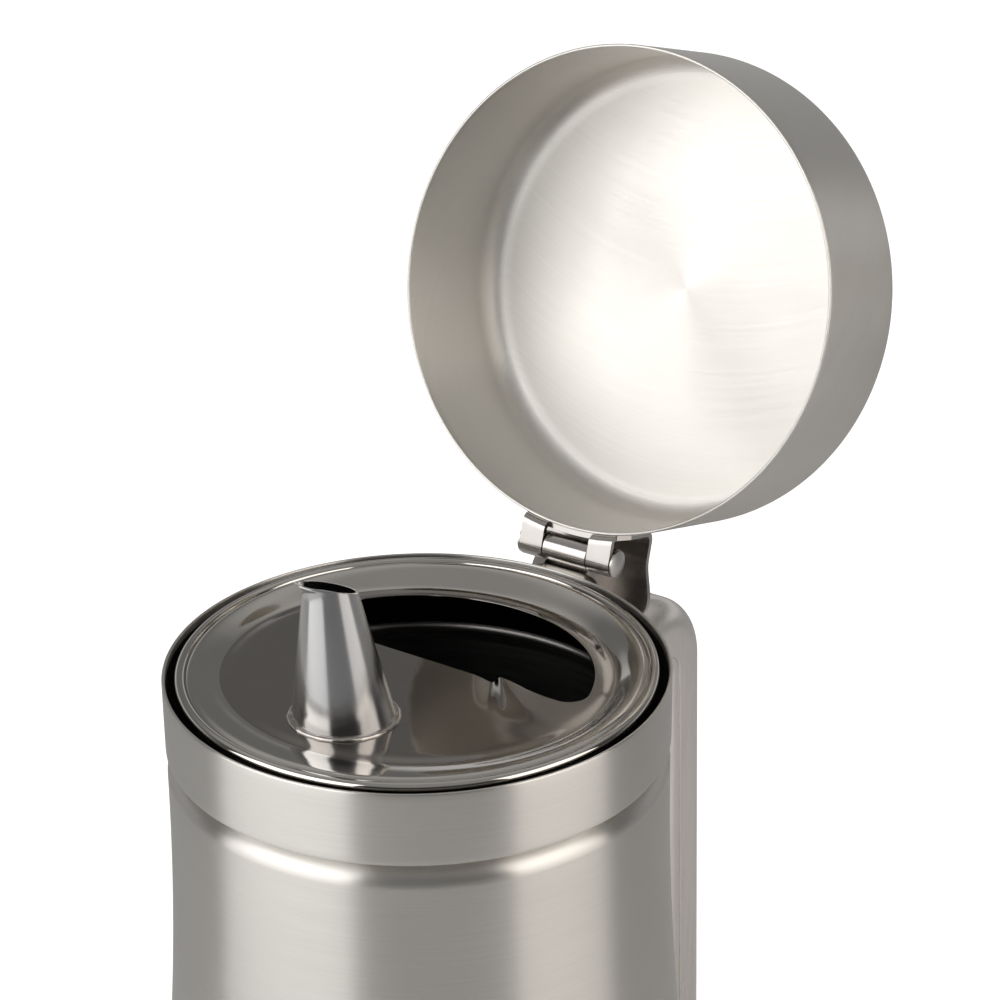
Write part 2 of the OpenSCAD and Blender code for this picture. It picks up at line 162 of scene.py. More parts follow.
def write_piece(name, points, faces, uv, body, nodes, material, sharp=38.0, bevel=0.0):
    """Puts points (n x 3, millimetres) and faces (quads, or triangles where the last index repeats) into a
    mesh, with uv giving each point's place around and along the piece, and hangs it on its body. nodes are
    the CAD nodes that the piece takes the place of."""
    mesh = bpy.data.meshes.new(name)
    quads = np.asarray(faces, np.int64)
    tri = quads[:, 3] == quads[:, 2]
    counts = np.where(tri, 3, 4)
    loops = quads[~(np.arange(4)[None, :] >= counts[:, None])]
    starts = np.concatenate([[0], np.cumsum(counts)[:-1]])
    mesh.vertices.add(len(points))
    mesh.vertices.foreach_set("co", (np.asarray(points) * MM).astype(np.float32).ravel())
    mesh.loops.add(len(loops))
    mesh.loops.foreach_set("vertex_index", loops.astype(np.int32))
    mesh.polygons.add(len(quads))
    mesh.polygons.foreach_set("loop_start", starts.astype(np.int32))
    mesh.polygons.foreach_set("loop_total", counts.astype(np.int32))
    mesh.polygons.foreach_set("use_smooth", np.ones(len(quads), bool))
    layer = mesh.uv_layers.new(name="UVMap")
    layer.data.foreach_set("uv", np.asarray(uv, np.float32)[loops].ravel())
    mesh.update(calc_edges=True)
    mesh.validate()
    mesh.set_sharp_from_angle(angle=math.radians(sharp))
    obj = bpy.data.objects.new(name, mesh)
    bpy.context.scene.collection.objects.link(obj)
    mesh.materials.append(material)
    if bevel:
        m = obj.modifiers.new("edge", "BEVEL")
        m.width = bevel * MM
        m.segments = 3
        m.limit_method = "ANGLE"
        m.angle_limit = math.radians(BEVEL_ANGLE)
    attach(obj, body)
    if nodes:
        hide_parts(*nodes)
    return obj


def grid_faces(nu, nv, wrap_u=False, wrap_v=False):
    """Quads of an nu x nv grid of points, joined round in either direction where asked."""
    i = np.arange(nu if wrap_u else nu - 1)
    j = np.arange(nv if wrap_v else nv - 1)
    a, b = np.meshgrid(i, j, indexing="ij")
    a2, b2 = (a + 1) % nu, (b + 1) % nv
    return np.stack([a * nv + b, a2 * nv + b, a2 * nv + b2, a * nv + b2], -1).reshape(-1, 4)


def revolve(profile, n=ROUND, place=None, about="z"):
    """Carries a closed profile of (radius, height) round the axis: point (k, i) lies at angle 2 pi i / n.
    A first and last point on the axis become one point each, and otherwise the profile closes on itself."""
    prof = np.asarray(profile, float)
    a = 2 * np.pi * np.arange(n) / n
    poles = prof[0, 0] < 1e-9 and prof[-1, 0] < 1e-9
    rings = prof[1:-1] if poles else prof
    m = len(rings)
    pts = np.stack([rings[:, :1] * np.cos(a), rings[:, :1] * np.sin(a), np.repeat(rings[:, 1:], n, 1)], -1)
    pts = pts.reshape(-1, 3)
    along = np.concatenate([[0], np.cumsum(np.hypot(*np.diff(rings, axis=0).T))])
    uv = np.stack([np.tile(a / (2 * np.pi), m), np.repeat(along / UV_UNIT, n)], 1)
    faces = grid_faces(m, n, wrap_u=not poles, wrap_v=True)
    if poles:
        k = len(pts)
        pts = np.concatenate([pts, [[0, 0, prof[0, 1]], [0, 0, prof[-1, 1]]]])
        uv = np.concatenate([uv, [[0, 0], [0, along[-1] / UV_UNIT]]])
        i = np.arange(n)
        j = (i + 1) % n
        first = np.stack([np.full(n, k), i, j, j], 1)
        last = np.stack([np.full(n, k + 1), (m - 1) * n + j, (m - 1) * n + i, (m - 1) * n + i], 1)
        faces = np.concatenate([faces, first, last])
    if about == "y":
        pts = pts[:, [0, 2, 1]] * [1, 1, -1]
    if place is not None:
        pts = place(pts)
    return pts, faces, uv


def thick_sheet(a, b, keep=None):
    """Closes two facing grids of points (outer a, inner b, nu x nv x 3) into one solid sheet. Of its cells
    only the kept ones stay, and each border of a kept cell that has no kept neighbour becomes a wall."""
    nu, nv = a.shape[:2]
    n = nu * nv
    keep = np.ones((nu - 1, nv - 1), bool) if keep is None else keep
    i, j = np.nonzero(keep)
    p, q, r, s = i * nv + j, (i + 1) * nv + j, (i + 1) * nv + j + 1, i * nv + j + 1
    cells = np.stack([p, q, r, s], 1)
    near = np.pad(keep, 1)
    faces = [cells, cells[:, ::-1] + n]
    for e0, e1, beside in ((p, q, near[1:-1, :-2]), (q, r, near[2:, 1:-1]),
                           (r, s, near[1:-1, 2:]), (s, p, near[:-2, 1:-1])):
        m = ~beside[i, j]
        faces.append(np.stack([e1[m], e0[m], e0[m] + n, e1[m] + n], 1))
    faces = np.concatenate(faces)
    du = np.concatenate([[0], np.cumsum(np.linalg.norm(np.diff(a[:, nv // 2], axis=0), axis=1))])
    dv = np.concatenate([[0], np.cumsum(np.linalg.norm(np.diff(a[nu // 2], axis=0), axis=1))])
    uv = np.stack(np.meshgrid(du / UV_UNIT, dv / UV_UNIT, indexing="ij"), -1).reshape(-1, 2)
    used, faces = np.unique(faces, return_inverse=True)
    points = np.concatenate([a.reshape(-1, 3), b.reshape(-1, 3)])
    return points[used], faces.reshape(-1, 4), np.tile(uv, (2, 1))[used]


def outward(points, faces):
    """Faces turned so that the closed surface's volume is positive."""
    f = np.asarray(faces)
    p = points[f]
    vol = np.einsum("ij,ij->i", p[:, 0], np.cross(p[:, 1], p[:, 2])) + np.einsum(
        "ij,ij->i", p[:, 0], np.cross(p[:, 2], p[:, 3]))
    if vol.sum() >= 0:
        return f
    out = f[:, ::-1].copy()
    tri = f[:, 2] == f[:, 3]
    out[tri] = f[tri][:, [0, 2, 1, 1]]
    return out


def face_centres(obj):
    """The middles of a piece's faces, in millimetres."""
    mid = np.empty(len(obj.data.polygons) * 3, np.float32)
    obj.data.polygons.foreach_get("center", mid)
    return mid.reshape(-1, 3) / MM


def second_finish(obj, material, where):
    """Gives the faces in where a second material."""
    obj.data.materials.append(material)
    obj.data.polygons.foreach_set("material_index", where.astype(np.int32))


def lid_open(p):
    """Turns points of the shut lid about the hinge pin into the open place: x and z turn by the open
    angle about the line x = AXIS_X, z = AXIS_Z."""
    c, s = math.cos(OPEN_ANGLE), math.sin(OPEN_ANGLE)
    dx, dz = p[..., 0] - AXIS_X, p[..., 2] - AXIS_Z
    return np.stack([AXIS_X + dx * c + dz * s, p[..., 1], AXIS_Z - dx * s + dz * c], -1)


# Materials

GRAIN_NOISE = (1.0, 3.0, 0.65)
CLOUD_NOISE = (28.0, 3.0, 0.5)
NOISE_SPAN = (0.25, 0.75)
NEAR_AXIS = 1e-5
ANISO_TURN = 0.25
# Colour of the painted sheen that the edge share blends in towards the silhouettes.
PAINTED_EDGE_SHEEN = (1, 0.98, 0.95, 1)


def feed(tree, socket, value):
    """Sets a socket to a value, or links the socket given as the value to it."""
    if isinstance(value, bpy.types.NodeSocket):
        tree.links.new(value, socket)
    else:
        socket.default_value = value


def calc(tree, kind, *values):
    """Result of a math node."""
    m = tree.nodes.new("ShaderNodeMath")
    m.operation = kind
    for k, value in enumerate(values):
        feed(tree, m.inputs[k], value)
    return m.outputs[0]


def spread(tree, value, span, to, shape="LINEAR"):
    """Carries the value from one span to another."""
    r = tree.nodes.new("ShaderNodeMapRange")
    r.interpolation_type = shape
    for key, number in zip(("Value", "From Min", "From Max", "To Min", "To Max"), (value, *span, *to)):
        feed(tree, r.inputs[key], number)
    return r.outputs[0]


def blend(tree, share, a, b):
    """Colour a at share 0 and colour b at share 1."""
    mix = tree.nodes.new("ShaderNodeMix")
    mix.data_type = "RGBA"
    for key, value in (("Factor", share), ("A", a), ("B", b)):
        feed(tree, mix.inputs[key], value)
    return mix.outputs["Result"]


def grain_group(name, mode):
    """Fine brush marks as the grey value Grain, and slow patches as Cloud. mode "turned" runs the marks round
    the Z axis of the vector that comes in: the noise reads (cos a, sin a) times Along and (z - r) times
    Across, so it has no seam. mode "straight" runs them along Z. The noise tuples are scale, detail and
    roughness."""
    g = bpy.data.node_groups.new(name, "ShaderNodeTree")
    g.interface.new_socket(name="Vector", in_out="INPUT", socket_type="NodeSocketVector")
    for key in ("Along", "Across"):
        g.interface.new_socket(name=key, in_out="INPUT", socket_type="NodeSocketFloat")
    for key in ("Grain", "Cloud"):
        g.interface.new_socket(name=key, in_out="OUTPUT", socket_type="NodeSocketFloat")
    n = g.nodes
    gi, go = n.new("NodeGroupInput"), n.new("NodeGroupOutput")
    along, across = gi.outputs["Along"], gi.outputs["Across"]
    sep = n.new("ShaderNodeSeparateXYZ")
    feed(g, sep.inputs[0], gi.outputs["Vector"])
    x, y, z = sep.outputs
    scales = (across, across, along)
    if mode == "turned":
        r = calc(g, "SQRT", calc(g, "ADD", calc(g, "MULTIPLY", x, x), calc(g, "MULTIPLY", y, y)))
        rr = calc(g, "MAXIMUM", r, NEAR_AXIS)
        x, y, z = calc(g, "DIVIDE", x, rr), calc(g, "DIVIDE", y, rr), calc(g, "SUBTRACT", z, r)
        scales = (along, along, across)
    comb = n.new("ShaderNodeCombineXYZ")
    for k, (part, scale) in enumerate(zip((x, y, z), scales)):
        feed(g, comb.inputs[k], calc(g, "MULTIPLY", part, scale))
    for key, vector, looks in (("Grain", comb.outputs[0], GRAIN_NOISE),
                               ("Cloud", gi.outputs["Vector"], CLOUD_NOISE)):
        noise = n.new("ShaderNodeTexNoise")
        for name, value in zip(("Vector", "Scale", "Detail", "Roughness"), (vector, *looks)):
            feed(g, noise.inputs[name], value)
        feed(g, go.inputs[key], noise.outputs[0])
    return g


GRAIN = {mode: grain_group(mode + "_grain", mode) for mode in ("turned", "straight")}


def steel(name, color, rough, mode="turned", along=2.0, across=2500.0, bump=0.02, grain_rough=0.12,
          cloud_rough=0.06, tint=0.06, aniso=0.0, wave=0.0, edge=0.0):
    """Bare steel. The grain varies the roughness and the colour a little, and the cloud the roughness. bump
    and wave are the heights of grain and cloud in millimetres. edge is a painted sheen: seen aslant, the
    colour is painted towards white by that share, a painted reflection along the silhouettes. aniso
    stretches the highlights across the brush marks, which run round the axis, the UV map's first direction."""
    m = bpy.data.materials.new(name)
    m.use_nodes = True
    tree = m.node_tree
    n = tree.nodes
    n.clear()
    out = n.new("ShaderNodeOutputMaterial")
    p = n.new("ShaderNodeBsdfPrincipled")
    feed(tree, out.inputs[0], p.outputs[0])
    p.inputs["Metallic"].default_value = 1.0
    g = n.new("ShaderNodeGroup")
    g.node_tree = GRAIN[mode]
    for key, value in (("Along", along), ("Across", across),
                       ("Vector", n.new("ShaderNodeTexCoord").outputs["Object"])):
        feed(tree, g.inputs[key], value)
    grain, cloud = g.outputs["Grain"], g.outputs["Cloud"]
    by_grain = spread(tree, grain, NOISE_SPAN, (rough - grain_rough / 2, rough + grain_rough / 2))
    by_cloud = spread(tree, cloud, NOISE_SPAN, (-cloud_rough / 2, cloud_rough / 2))
    feed(tree, p.inputs["Roughness"], calc(tree, "ADD", by_grain, by_cloud))
    dark, light = [(*[min(1, c * k) for c in color], 1) for k in (1 - tint, 1 + tint)]
    shade = blend(tree, spread(tree, grain, NOISE_SPAN, (0, 1)), dark, light)
    # Painted sheen: at grazing angles the colour is painted towards pale, a painted reflection along the
    # silhouettes.
    if edge:
        slant = n.new("ShaderNodeLayerWeight")
        slant.inputs["Blend"].default_value = 0.5
        shade = blend(tree, calc(tree, "MULTIPLY", slant.outputs["Facing"], edge), shade, PAINTED_EDGE_SHEEN)
    feed(tree, p.inputs["Base Color"], shade)
    normal = None
    for height, depth in ((cloud, wave), (grain, bump)):
        if not depth:
            continue
        b = n.new("ShaderNodeBump")
        b.inputs["Strength"].default_value = 1.0
        b.inputs["Distance"].default_value = depth * MM
        feed(tree, b.inputs["Height"], height)
        if normal:
            feed(tree, b.inputs["Normal"], normal)
        normal = b.outputs[0]
    if normal:
        feed(tree, p.inputs["Normal"], normal)
    if aniso:
        p.inputs["Anisotropic"].default_value = aniso
        p.inputs["Anisotropic Rotation"].default_value = ANISO_TURN
        t = n.new("ShaderNodeTangent")
        t.direction_type = "UV_MAP"
        t.uv_map = "UVMap"
        feed(tree, p.inputs["Tangent"], t.outputs[0])
    return m


STEEL = (0.69, 0.665, 0.625)
pot_steel = steel("pot_brushed_round", STEEL, 0.35, aniso=0.95, bump=0.002, grain_rough=0.06, tint=0.04)
lid_steel = steel("lid_brushed_round", STEEL, 0.36, aniso=0.9, bump=0.002, grain_rough=0.06, tint=0.04)
# The lid's inside floor is painted lighter than the cap's steel, painted light on it. Its rougher spun grain
# is the real finish.
lid_floor_lit_steel = steel("lid_floor_spun_painted_light", (0.8, 0.775, 0.73), 0.45, aniso=0.85, bump=0.002,
                        grain_rough=0.08, tint=0.05)
handle_steel = steel("handle_satin", (0.88, 0.83, 0.79), 0.31, mode="straight", along=40, across=1400,
                     bump=0.0015)
hinge_steel = steel("hinge_polished", (0.5, 0.475, 0.45), 0.19, mode="straight", along=300, across=300,
                    bump=0.0, grain_rough=0.04, tint=0.03)
pin_steel = steel("pin_satin", (0.6, 0.58, 0.55), 0.32, along=3, across=900, bump=0.003)
# The plate's floor is painted darker than its flange, though both are one polished sheet: painted shade on
# the recessed floor.
plate_floor_shaded_steel = steel("plate_floor_polished_painted_shade", (0.35, 0.325, 0.3), 0.07, mode="straight", along=60, across=60,
                    bump=0.0, grain_rough=0.02, cloud_rough=0.02, tint=0.03, wave=0.3)
flange_steel = steel("plate_flange_polished", (0.54, 0.515, 0.48), 0.08, mode="straight", along=60,
                     across=60, bump=0.0, grain_rough=0.02, cloud_rough=0.02, tint=0.03, wave=0.3)
# The spout's edge share paints a pale sheen along its silhouettes, a painted reflection.
spout_steel = steel("spout_polished_painted_sheen", (0.4, 0.4, 0.405), 0.2, mode="straight", along=60, across=900,
                    bump=0.002, grain_rough=0.05, cloud_rough=0.03, tint=0.03, edge=0.9)
weld_steel = steel("weld_bead", (0.45, 0.42, 0.39), 0.24, mode="straight", along=500, across=500, bump=0.05)
# The pot's inside is painted much darker than its steel: painted shade inside the pot. The roughness and
# grain are its drawn finish.
inside_shaded_steel = steel("pot_inside_drawn_painted_shade", (0.2, 0.19, 0.185), 0.34, aniso=0.5, bump=0.003, tint=0.2)
panel_steel = steel("panel_rolled", STEEL, 0.4, mode="straight", along=400, across=400, bump=0.004)


# Pot

def pot_line(d):
    """The pot's outline from its foot to the rim, moved inwards by d: bottom corner, long flare, shoulder,
    groove and roll are arcs that meet tangentially, worked out as the solid's source does."""
    z_s = RIM_H - COLLAR_H
    gx, gz = COLLAR_R - GROOVE_DEPTH + GROOVE_R, z_s - GROOVE_R
    v = math.radians(SHOULDER_TURN)
    tl = (WAIST_R - SHOULDER_R - gx + (GROOVE_R + SHOULDER_R) * math.cos(v)) / math.sin(v)
    waist_z = gz - (GROOVE_R + SHOULDER_R) * math.sin(v) - tl * math.cos(v)
    fx = WAIST_R + FLARE_R
    cx = fx - math.sqrt((FLARE_R + CORNER_R) ** 2 - (waist_z - CORNER_R) ** 2)
    fa = math.degrees(math.asin((waist_z - CORNER_R) / (FLARE_R + CORNER_R)))
    pts = np.concatenate([
        arc(cx, CORNER_R, CORNER_R - d, -90, fa, 28),
        arc(fx, waist_z, FLARE_R + d, 180 + fa, 180, 72)[1:],
        arc(WAIST_R - SHOULDER_R, waist_z, SHOULDER_R - d, 0, SHOULDER_TURN, 16)[1:],
        arc(gx, gz, GROOVE_R + d, 180 + SHOULDER_TURN, 90, 16),
        arc(COLLAR_R - ROLL_R, z_s + ROLL_R, ROLL_R - d, -90, 0, 10),
    ])
    return pts, cx


OUTER, CORNER_X = pot_line(0)
INNER, _ = pot_line(SHEET)
FOOT_IN = CORNER_X - FOOT_W
half_t = SHEET / 2
outside = np.concatenate([
    [[FOOT_IN, 0.0]],
    OUTER,
    line((COLLAR_R, OUTER[-1, 1]), (COLLAR_R, RIM_H - half_t), 10),
    arc(COLLAR_R - half_t, RIM_H - half_t, half_t, 0, 180, 8),
])
inside = np.concatenate([
    line((COLLAR_R - SHEET, RIM_H - half_t), (COLLAR_R - SHEET, INNER[-1, 1]), 10),
    INNER[::-1],
    [[FOOT_IN, SHEET]],
])
pts, faces, uv = revolve(np.concatenate([outside, inside]))
pot = write_piece("pot", pts, outward(pts, faces), uv, "pot", ["pot_body"], pot_steel)
# The inner faces take the darker steel, painted shade inside the pot.
second_finish(pot, inside_shaded_steel, np.arange(len(faces)) // ROUND >= len(outside))

ramp_r = FOOT_IN - PANEL_RAMP
panel_profile = [[0, PANEL_RISE], [ramp_r, PANEL_RISE], [FOOT_IN, SHEET], [CORNER_X - half_t, SHEET],
                 [CORNER_X - half_t, 2 * SHEET], [FOOT_IN, 2 * SHEET],
                 [ramp_r, PANEL_RISE + SHEET], [0, PANEL_RISE + SHEET]]
pts, faces, uv = revolve(panel_profile, 128)
write_piece("foot_panel", pts, outward(pts, faces), uv, "pot", ["base_panel"], panel_steel)


# Handle

ARM_STEPS = 12
BEND_STEPS = 24
GRIP_STEPS = 39
SEAM_X = BEND_R - HANDLE_T + COVER_DEPTH


def pot_radius(z):
    """Outer radius of the pot at height z, read off its outline, which rises all the way."""
    return np.interp(z, OUTER[:, 1], OUTER[:, 0])


def loop_point(a, b, y):
    """A point of the handle's loop: (a, b) in the loop's own plane turns by the lean about the upper bend."""
    c, s = math.cos(LEAN), math.sin(LEAN)
    return np.stack([BEND_X + a * c - b * s, -y, BEND_Z + a * s + b * c], -1)


def sweep_handle(section):
    """Carries a section (x from the bends' axis, y across) along arm, bend, grip, bend and arm. Each line of
    the arms ends where it meets the pot: the distance is found by halving."""
    x, y = section[:, 0], section[:, 1]

    def arm_end(sign, b0):
        near, far = np.zeros(len(x)), np.full(len(x), BEND_X)
        for _ in range(HALVINGS):
            mid = (near + far) / 2
            p = loop_point(-mid, b0 + sign * x, y)
            out = np.hypot(p[:, 0], p[:, 1]) > pot_radius(p[:, 2])
            near, far = np.where(out, mid, near), np.where(out, far, mid)
        return near

    rows = []
    e = arm_end(1, 0.0)
    for t in np.linspace(1, 0, ARM_STEPS, endpoint=False):
        rows.append(loop_point(-e * t, x, y))
    for a in np.radians(np.linspace(90, 0, BEND_STEPS + 1)):
        rows.append(loop_point(x * math.cos(a), x * math.sin(a), y))
    for t in np.linspace(0, 1, GRIP_STEPS + 1)[1:-1]:
        rows.append(loop_point(x, -GRIP_L * t + 0 * x, y))
    for a in np.radians(np.linspace(0, -90, BEND_STEPS + 1)):
        rows.append(loop_point(x * math.cos(a), -GRIP_L + x * math.sin(a), y))
    e = arm_end(-1, -GRIP_L)
    for t in np.linspace(0, 1, ARM_STEPS + 1)[1:]:
        rows.append(loop_point(-e * t, -GRIP_L - x, y))
    return np.stack(rows)


def shell_line(d):
    """Section of the handle's outer half, moved inwards by d."""
    cx, cy = BEND_R - EDGE_R, HANDLE_HALF - EDGE_R
    side = HANDLE_HALF - d
    return np.concatenate([
        line((SEAM_X, -side), (cx, -side), 3, True)[:-1], arc(cx, -cy, EDGE_R - d, -90, 0, 14),
        line((BEND_R - d, -cy), (BEND_R - d, cy), 4), arc(cx, cy, EDGE_R - d, 0, 90, 14),
        line((cx, side), (SEAM_X, side), 3, True)[1:]])


def cover_line(d):
    """Section of the handle's inner half, moved inwards by d."""
    cx = BEND_R - HANDLE_T + INNER_EDGE_R
    side = HANDLE_HALF - SEAM_STEP - d
    cy = HANDLE_HALF - SEAM_STEP - INNER_EDGE_R
    return np.concatenate([
        [[SEAM_X, side]], arc(cx, cy, INNER_EDGE_R - d, 90, 180, 10),
        line((cx - INNER_EDGE_R + d, cy), (cx - INNER_EDGE_R + d, -cy), 8),
        arc(cx, -cy, INNER_EDGE_R - d, 180, 270, 10), [[SEAM_X, -side]]])


for name, node, shape in (("handle_outer_half", "handle_shell", shell_line),
                          ("handle_inner_half", "handle_cover", cover_line)):
    pts, faces, uv = thick_sheet(sweep_handle(shape(0)), sweep_handle(shape(HANDLE_SHEET)))
    write_piece(name, pts, outward(pts, faces), uv, "pot", [node], handle_steel, bevel=EDGE_BEVEL)


# Lid

def lid_profile():
    """Closed cap: outer top, corner, wall, rounded rim, then the inner wall, corner and floor."""
    top = LID_Z + LID_DEPTH
    cx, cz = LID_R - LID_CORNER_R, top - LID_CORNER_R
    return np.concatenate([
        line((0, top), (cx, top), 24, True)[:-1],
        arc(cx, cz, LID_CORNER_R, 90, 0, 18),
        line((LID_R, cz), (LID_R, LID_Z + half_t), 14),
        arc(LID_R - half_t, LID_Z + half_t, half_t, 0, -180, 8),
        line((LID_R - SHEET, LID_Z + half_t), (LID_R - SHEET, cz), 14),
        arc(cx, cz, LID_CORNER_R - SHEET, 0, 90, 18),
        line((cx, top - SHEET), (0, top - SHEET), 24, True)[1:]])


pts, faces, uv = revolve(lid_profile(), place=lid_open)
cap = write_piece("lid_cap", pts, outward(pts, faces), uv, "lid", ["lid_shell"], lid_steel)
lid_floor_z = LID_Z + LID_DEPTH - SHEET
floor_at, one_up = lid_open(np.array([[0, 0, lid_floor_z], [0, 0, lid_floor_z + 1]]))
# The floor's faces take the lighter steel, painted light.
second_finish(cap, lid_floor_lit_steel, np.abs((face_centres(cap) - floor_at) @ (one_up - floor_at)) < half_t)


# Hinge

FIXED_CURL = 222
LID_CURL = 206
CURL_STEPS = 44
CURL_EASE = 30
WEB_BEND_R = 0.9
WEB_STEPS = 90
WALL_ROW = 60
WIDEN_DROP = 1.9
WIDEN_H = 1.3
WRAP_GAP = 2.2
TONGUE_COLS = 8
TONGUE_SPREAD = 0.04
NECK_SHARE = 0.3
FLARE_SHARE = 0.48


def fillet_path(points, radii, n=8):
    """A bent line: each inner corner of the points becomes an arc of its radius."""
    p = np.asarray(points, float)
    out = [p[0]]
    for k in range(1, len(p) - 1):
        a, b, c = p[k - 1], p[k], p[k + 1]
        u, v = (a - b) / np.linalg.norm(a - b), (c - b) / np.linalg.norm(c - b)
        ang = math.acos(float(np.clip(u @ v, -1, 1)))
        t = radii[k] / math.tan(ang / 2)
        m = (u + v) / np.linalg.norm(u + v)
        centre = b + m * radii[k] / math.sin(ang / 2)
        s, e = b + u * t, b + v * t
        a0 = math.atan2(*(s - centre)[::-1])
        a1 = math.atan2(*(e - centre)[::-1])
        turn = (a1 - a0 + math.pi) % (2 * math.pi) - math.pi
        aa = a0 + turn * np.linspace(0, 1, n + 1)
        out.extend(np.stack([centre[0] + radii[k] * np.cos(aa), centre[1] + radii[k] * np.sin(aa)], 1))
    out.append(p[-1])
    return np.array(out)


def spaced(path, marks):
    """Points at the given shares of a bent line's length."""
    d = np.concatenate([[0], np.cumsum(np.hypot(*np.diff(path, axis=0).T))])
    return np.stack([np.interp(np.asarray(marks) * d[-1], d, path[:, k]) for k in (0, 1)], 1)


def around_pot(p, y, share):
    """x of the point y off the middle of a sheet at distance p: a share of the way to the circle round the
    pot's axis."""
    return p - share * (p - np.sqrt(np.maximum(p * p - y * y, 0)))


def curl(start, end, bore, side):
    """Points of a knuckle's curl about the pin, from angle start to end: outside on the knuckle's radius, and
    inside on the bore, which eases out to the sheet's own thickness over the last CURL_EASE degrees."""
    ang = np.linspace(start, end, CURL_STEPS)
    thick = LEAF_T + (KNUCKLE_R - bore - LEAF_T) * smooth((ang - end) / CURL_EASE)
    r = KNUCKLE_R - side * thick
    return np.stack([AXIS_X + r * np.cos(np.radians(ang)), AXIS_Z + r * np.sin(np.radians(ang))], 1)


def fixed_leaf_sheet():
    """Fixed leaf as one bent sheet: curled round the pin, straight down the slope to the collar, bent, and
    down the collar's outside, where it widens over a rounded shoulder."""
    c, s = math.cos(BRACKET_SLOPE), math.sin(BRACKET_SLOPE)
    foot_z = RIM_H - BRACKET_DROP
    grids = []
    for side in (0, 1):
        h, wall = KNUCKLE_R - side * LEAF_T, COLLAR_R + (1 - side) * LEAF_T
        run = (AXIS_X + h * s - wall) / c
        corner = (AXIS_X - run * c + h * s, AXIS_Z - run * s - h * c)
        web = fillet_path([(AXIS_X + h * s, AXIS_Z - h * c), corner, (wall, foot_z)],
                          [0, WEB_BEND_R + side * LEAF_T, 0])
        prof = np.concatenate([curl(FIXED_CURL, math.degrees(BRACKET_SLOPE) - 90, PIN_R, side),
                               spaced(web, np.linspace(0, 1, WEB_STEPS))[1:]])
        p, z = prof[:, :1], prof[:, 1:]
        u = np.clip((RIM_H - WIDEN_DROP - z) / WIDEN_H, 0, 1)
        on_wall = np.arange(len(prof))[:, None] > WALL_ROW
        half = MID_HALF + (BRACKET_HALF - MID_HALF) * np.where(on_wall, np.sqrt(1 - (1 - u) ** 2), 0)
        y = np.linspace(-1, 1, 33)[None, :] * half
        wrap_x = AXIS_X - WRAP_GAP
        share = smooth((wrap_x - p) / (wrap_x - COLLAR_R - LEAF_T)) * on_wall
        grids.append(np.stack([around_pot(p, y, share), y, z + 0 * y], -1))
    return thick_sheet(grids[0], grids[1])


pts, faces, uv = fixed_leaf_sheet()
faces = outward(pts - pts.mean(0), faces)
write_piece("fixed_leaf", pts, faces, uv, "pot", ["hinge_bracket"], hinge_steel, bevel=EDGE_BEVEL)


def pin_profile():
    """The pin along its axis: shank, the small rounded foot of a head, and the head's dome, at both ends."""
    seat = END_OUT + HEAD_GAP
    dome_r = (HEAD_R ** 2 + HEAD_DOME ** 2) / (2 * HEAD_DOME)
    dome_turn = math.degrees(math.asin(HEAD_R / dome_r))
    half = np.concatenate([
        [[PIN_R, 0.0], [PIN_R, seat]],
        arc(HEAD_R - EDGE_BEVEL, seat + EDGE_BEVEL, EDGE_BEVEL, -90, 0, 4),
        arc(0, seat + HEAD_EDGE + HEAD_DOME - dome_r, dome_r, 90 - dome_turn, 90, 12)])
    half[-1, 0] = 0.0
    return np.concatenate([half[::-1], (half * [1, -1])[1:]])


pts, faces, uv = revolve(pin_profile(), 64, about="y")
faces = outward(pts, faces)
write_piece("hinge_rivet", pts + [AXIS_X, 0, AXIS_Z], faces, uv, "pot", ["hinge_pin"], pin_steel)


def lever_half(s):
    """Half width of the thumb lever at share s of its reach: straight neck, smooth flare, then the end."""
    return LEVER_ROOT_HALF + (LEVER_HALF - LEVER_ROOT_HALF) * smooth((s - NECK_SHARE) / FLARE_SHARE)


